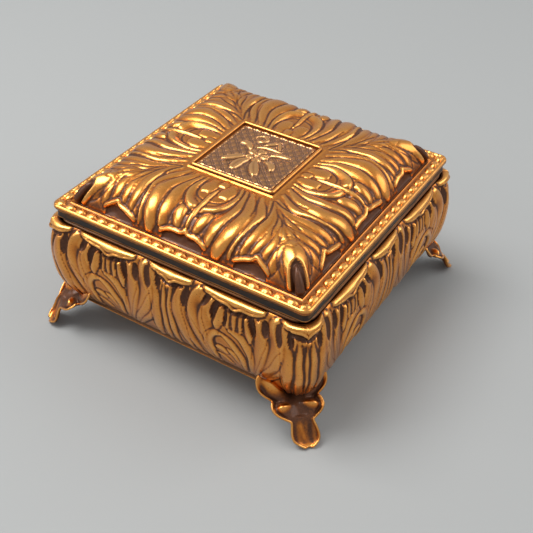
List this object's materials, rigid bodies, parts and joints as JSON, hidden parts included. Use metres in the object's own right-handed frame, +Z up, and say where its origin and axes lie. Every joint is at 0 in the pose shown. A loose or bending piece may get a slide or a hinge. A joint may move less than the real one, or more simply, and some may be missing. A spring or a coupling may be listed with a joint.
{
  "type": "trinket box",
  "caption": "Square hinged trinket box on leaf feet, with bellied pressed walls, a cushion-domed lid, a framed square plaque and a padded velvet lining.",
  "frame": {"origin": "on the table, under the middle of the box", "axes": "+Z up, -Y towards the front, +X to the right, hinge along X at the rear"},
  "size_m": [0.1372, 0.1372, 0.0742],
  "materials": {
    "copper": "antiqued pressed copper, rubbed bright on the high spots",
    "aged_copper": "antiqued copper, dull brown",
    "dark_copper": "oxidised nearly black",
    "hinge_brass": "satin brass",
    "velvet": "short-pile velvet over padding",
    "card": "plain pressed card"
  },
  "bodies": {
    "box": {"base_plate": "aged_copper", "front_wall": "copper", "right_wall": "copper", "rear_wall": "copper", "left_wall": "copper", "rim_frame": "aged_copper", "foot_front_right": "copper", "foot_rear_right": "copper", "foot_rear_left": "copper", "foot_front_left": "copper", "liner_front": "velvet", "liner_right": "velvet", "liner_rear": "velvet", "liner_left": "velvet", "liner_floor": "velvet", "hinge_leaf_body": "hinge_brass", "hinge_pin": "hinge_brass"},
    "lid": {"lid_top": "copper", "lid_skirt": "dark_copper", "plaque_bezel": "copper", "plaque": "aged_copper", "lid_board": "card", "lid_lining": "velvet", "hinge_leaf_lid": "hinge_brass"}
  },
  "joints": [
    {"name": "lid_hinge", "type": "hinge", "parent": "box", "child": "lid", "pos_m": [0, 0.0614, 0.056], "axis": [-1, 0, 0], "range_deg": [0, 105]}
  ]
}
